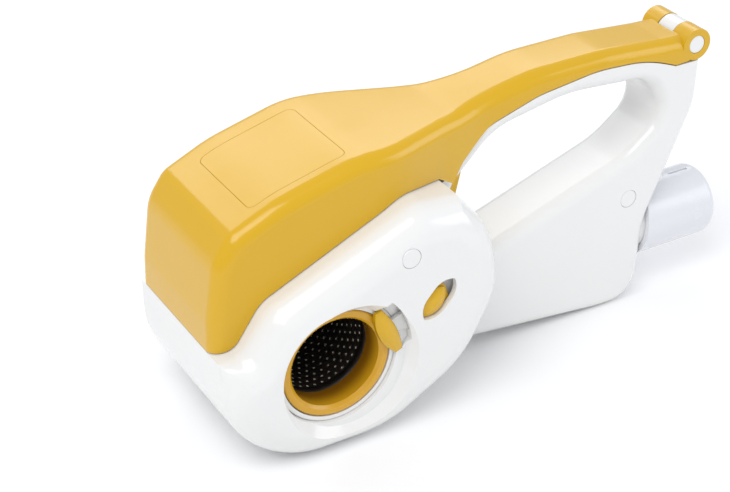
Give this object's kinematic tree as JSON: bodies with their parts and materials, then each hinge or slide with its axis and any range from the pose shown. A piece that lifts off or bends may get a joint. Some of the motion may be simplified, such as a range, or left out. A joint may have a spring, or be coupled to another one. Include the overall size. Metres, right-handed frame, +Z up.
{
  "type": "cordless drum grater",
  "caption": "Hand-held battery grater with a hinged pusher lid, a motor-driven perforated drum that dispenses at the side, a loop handle with trigger and a drum latch",
  "frame": {"origin": "under the middle of the overall box, on the surface the part stands on", "axes": "+X from the front of the lid to the tail end, +Y from the dispensing side to the drive side, +Z up"},
  "size_m": [0.245, 0.105, 0.12],
  "materials": {
    "white": "glossy white",
    "yellow": "glossy warm yellow",
    "tail_grey": "satin light grey",
    "orange": "glossy orange-yellow",
    "amber": "translucent cream",
    "sieve": "dark coated sheet with punched holes",
    "steel": "plain",
    "bush": "sintered",
    "gear": "moulded",
    "dark": "moulded black",
    "board": "board",
    "cell": "sleeved cell"
  },
  "bodies": {
    "housing": {"near_shell": "white", "far_shell": "white", "drive_cover": "white", "port_ring": "white", "food_chamber": "white", "screw_plug_1": "white", "screw_plug_2": "white", "latch_guide": "white", "drum_bearing": "bush", "motor_can": "steel", "motor_end_cap": "dark", "motor_clamp": "dark", "idler_axle": "steel", "housing_screws": "steel", "drive_cover_screws": "steel", "hinge_pin": "steel", "trigger_pin": "steel", "trigger_spring": "steel", "latch_spring": "steel", "battery_cell_1": "cell", "battery_cell_2": "cell", "battery_cell_3": "cell", "battery_cell_4": "cell", "battery_cradle": "dark", "circuit_board": "board", "micro_switch": "dark", "switch_bracket": "steel", "tail_cap": "tail_grey", "charging_socket": "dark", "charging_pin": "steel"},
    "lid": {"lid": "yellow", "badge_plate": "yellow", "food_pusher": "white", "pin_cap_near": "white", "pin_cap_far": "white"},
    "drum": {"drum_collar": "orange", "drum_sieve": "sieve", "drum_hub": "dark", "drum_shaft": "steel", "drum_gear": "gear"},
    "idler": {"idler_gear": "gear"},
    "rotor": {"motor_shaft": "steel", "motor_pinion": "bush"},
    "latch": {"latch": "yellow"},
    "trigger": {"trigger": "yellow"}
  },
  "joints": [
    {"name": "lid_hinge", "type": "hinge", "parent": "housing", "child": "lid", "pos_m": [0.1045, -0.0075, 0.1133], "axis": [0, 1, 0], "range_deg": [0, 100]},
    {"name": "drum_spin", "type": "hinge", "parent": "housing", "child": "drum", "pos_m": [-0.078, -0.0075, 0.0385], "axis": [0, 1, 0], "continuous": true},
    {"name": "idler_spin", "type": "hinge", "parent": "housing", "child": "idler", "pos_m": [-0.05493, 0.0325, 0.05291], "axis": [0, 1, 0], "continuous": true},
    {"name": "motor_spin", "type": "hinge", "parent": "housing", "child": "rotor", "pos_m": [-0.0295, 0.0125, 0.05], "axis": [0, 1, 0], "continuous": true},
    {"name": "latch_slide", "type": "slide", "parent": "housing", "child": "latch", "axis": [0.682, 0, 0.7314], "range_m": [0, 0.0045], "stiffness_N_per_m": 300, "springref_m": -0.003},
    {"name": "trigger_pull", "type": "hinge", "parent": "housing", "child": "trigger", "pos_m": [0.003, -0.0075, 0.0955], "axis": [0, 1, 0], "range_deg": [0, 4], "stiffness_Nm_per_rad": 0.15, "springref_deg": -6.88}
  ],
  "couplings": [
    {"joint": "idler_spin", "follows": "drum_spin", "ratio": -3.8571},
    {"joint": "motor_spin", "follows": "drum_spin", "ratio": 16.714}
  ]
}
